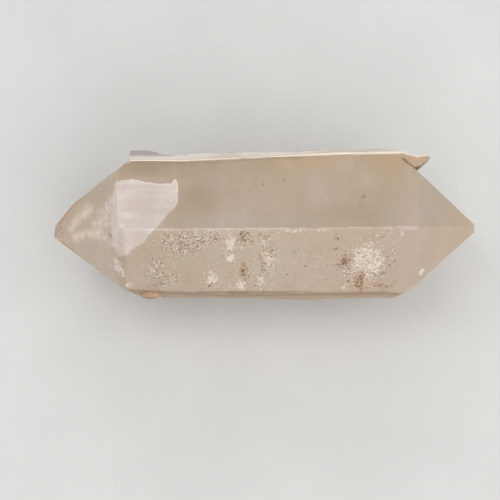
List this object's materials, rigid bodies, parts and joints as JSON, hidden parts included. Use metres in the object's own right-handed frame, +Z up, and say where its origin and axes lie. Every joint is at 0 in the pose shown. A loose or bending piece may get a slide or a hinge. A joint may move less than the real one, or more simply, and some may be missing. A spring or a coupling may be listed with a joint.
{
  "type": "double-terminated quartz crystal",
  "caption": "Long milky quartz crystal with six flat sides and a six-faced point at each end, lying on one side.",
  "frame": {"origin": "on the surface that the crystal rests on, under the middle of its bounding box", "axes": "+X along the crystal's long axis towards the end that has the spur, +Y towards the side with the ledge, +Z up"},
  "size_m": [0.0796, 0.0302, 0.0264],
  "materials": {
    "milky_quartz": "gloss"
  },
  "bodies": {
    "root": {"quartz_crystal": "milky_quartz"}
  },
  "joints": []
}
